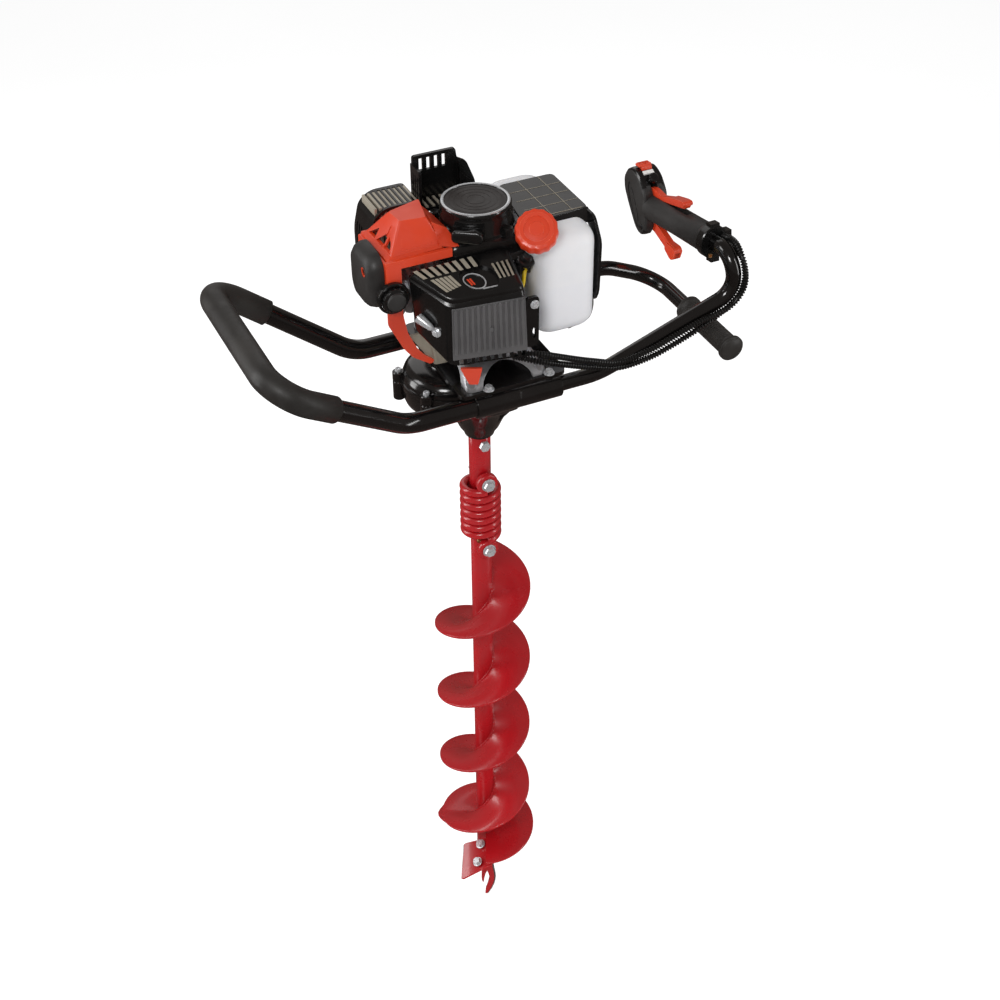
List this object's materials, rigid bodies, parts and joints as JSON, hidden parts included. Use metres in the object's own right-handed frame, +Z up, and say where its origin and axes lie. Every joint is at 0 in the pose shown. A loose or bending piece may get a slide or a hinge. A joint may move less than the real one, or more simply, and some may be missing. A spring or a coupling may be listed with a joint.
{
  "type": "ice fishing auger",
  "caption": "Engine-driven hand auger: spiral bit with bolted blades and fishtail point, shock spring, gear case, small two-stroke engine, padded handlebar loop and throttle grip.",
  "frame": {"origin": "centre of the flat tip of the fishtail point, on the drive axis", "axes": "+Z up along the drive axis, +X towards the throttle and rear grips, -Y towards the muffler"},
  "size_m": [0.7342, 0.3382, 1.453],
  "materials": {
    "red_powder_coat": "semi-gloss powder coat",
    "black_powder_coat": "gloss powder coat",
    "black_plastic": "satin moulded plastic",
    "black_rubber": "matt",
    "conduit_plastic": "ribbed matt plastic",
    "orange_plastic": "satin moulded plastic",
    "cast_aluminium": "as cast",
    "zinc_steel": "bright zinc plate",
    "machined_steel": "machined",
    "tank_plastic": "translucent blow-moulded plastic",
    "white_ceramic": "glazed",
    "rope_fibre": "braided"
  },
  "bodies": {
    "powerhead": {"gear_case_lower": "black_powder_coat", "gear_case_upper": "black_powder_coat", "handle_carrier": "black_powder_coat", "left_loop_tube": "black_powder_coat", "right_front_bar": "black_powder_coat", "right_rear_bar": "black_powder_coat", "grip_collar": "black_plastic", "fan_housing": "black_plastic", "starter_housing": "black_plastic", "side_cover": "black_plastic", "fin_cover": "black_plastic", "muffler_cover": "black_plastic", "air_cleaner": "black_plastic", "tank_guard": "black_plastic", "throttle_housing_left": "black_plastic", "throttle_housing_right": "black_plastic", "loop_pad": "black_rubber", "rear_grip": "black_rubber", "output_seal": "black_rubber", "throttle_conduit": "conduit_plastic", "switch_conduit": "conduit_plastic", "ignition_coil": "conduit_plastic", "cylinder_hood": "orange_plastic", "engine_base": "cast_aluminium", "crankcase": "cast_aluminium", "cylinder": "cast_aluminium", "carburettor": "cast_aluminium", "case_screw": "zinc_steel", "clamp_screw": "zinc_steel", "output_bearing": "machined_steel", "muffler": "machined_steel", "fuel_tank": "tank_plastic", "spark_plug": "white_ceramic"},
    "drive": {"output_gear": "machined_steel", "output_shaft": "machined_steel", "adapter_tube": "red_powder_coat", "drive_bolt": "zinc_steel", "upper_spring_bolt": "zinc_steel", "shock_spring": "red_powder_coat"},
    "bit": {"auger_tube": "red_powder_coat", "flighting": "red_powder_coat", "cutting_blade_front": "red_powder_coat", "cutting_blade_rear": "red_powder_coat", "centre_point": "machined_steel", "lower_spring_bolt": "zinc_steel"},
    "layshaft": {"layshaft": "machined_steel"},
    "clutch": {"clutch_drum": "machined_steel"},
    "crank": {"crank_half_lower": "machined_steel", "crank_half_upper": "machined_steel", "flywheel": "cast_aluminium"},
    "piston": {"piston": "cast_aluminium", "connecting_rod": "machined_steel"},
    "starter_pull": {"starter_grip": "black_plastic", "starter_rope": "rope_fibre"},
    "reel": {"starter_reel": "black_plastic"},
    "trigger": {"throttle_trigger": "orange_plastic"},
    "lockout": {"lockout_lever": "orange_plastic"},
    "stop_switch": {"stop_switch": "orange_plastic"},
    "fuel_cap": {"fuel_cap": "orange_plastic"},
    "knob": {"cover_knob": "black_plastic"}
  },
  "joints": [
    {"name": "output_spin", "type": "hinge", "parent": "powerhead", "child": "drive", "pos_m": [0, 0, 1.13], "axis": [0, 0, 1], "continuous": true},
    {"name": "shock_twist", "type": "hinge", "parent": "drive", "child": "bit", "pos_m": [0, 0, 0.9], "axis": [0, 0, 1], "range_deg": [-15, 15], "stiffness_Nm_per_rad": 60, "deforming": ["shock_spring"]},
    {"name": "layshaft_spin", "type": "hinge", "parent": "powerhead", "child": "layshaft", "pos_m": [-0.045, 0, 1.14], "axis": [0, 0, 1], "continuous": true},
    {"name": "input_spin", "type": "hinge", "parent": "powerhead", "child": "clutch", "pos_m": [0, 0, 1.19], "axis": [0, 0, 1], "continuous": true},
    {"name": "crank_spin", "type": "hinge", "parent": "powerhead", "child": "crank", "pos_m": [0, 0, 1.312], "axis": [0, 0, 1], "continuous": true},
    {"name": "piston_stroke", "type": "slide", "parent": "powerhead", "child": "piston", "axis": [1, 0, 0], "range_m": [0, 0.034]},
    {"name": "starter_pull", "type": "slide", "parent": "powerhead", "child": "starter_pull", "axis": [-0.5646, -0.8253, 0], "range_m": [0, 0.8], "stiffness_N_per_m": 12},
    {"name": "reel_spin", "type": "hinge", "parent": "powerhead", "child": "reel", "pos_m": [0, 0, 1.398], "axis": [0, 0, 1], "range_deg": [-1440, 1440]},
    {"name": "trigger_squeeze", "type": "hinge", "parent": "powerhead", "child": "trigger", "pos_m": [0.346, 0.12896, 1.24389], "axis": [-1, 0, 0], "range_deg": [0, 14], "stiffness_Nm_per_rad": 0.6},
    {"name": "lockout_press", "type": "hinge", "parent": "powerhead", "child": "lockout", "pos_m": [0.346, 0.12421, 1.29314], "axis": [1, 0, 0], "range_deg": [0, 5], "stiffness_Nm_per_rad": 0.4},
    {"name": "switch_slide", "type": "slide", "parent": "powerhead", "child": "stop_switch", "axis": [0, 0.9889, -0.1483], "range_m": [0, 0.007]},
    {"name": "cap_turn", "type": "hinge", "parent": "powerhead", "child": "fuel_cap", "pos_m": [0.055, -0.072, 1.387], "axis": [-0.2955, -0.6007, 0.7428], "range_deg": [0, 270]},
    {"name": "knob_turn", "type": "hinge", "parent": "powerhead", "child": "knob", "pos_m": [-0.143, -0.058, 1.332], "axis": [0, -1, 0], "range_deg": [0, 90]}
  ],
  "couplings": [
    {"joint": "layshaft_spin", "follows": "output_spin", "ratio": -4},
    {"joint": "input_spin", "follows": "output_spin", "ratio": 16},
    {"joint": "reel_spin", "follows": "starter_pull", "rad_per_m": -29.674}
  ]
}
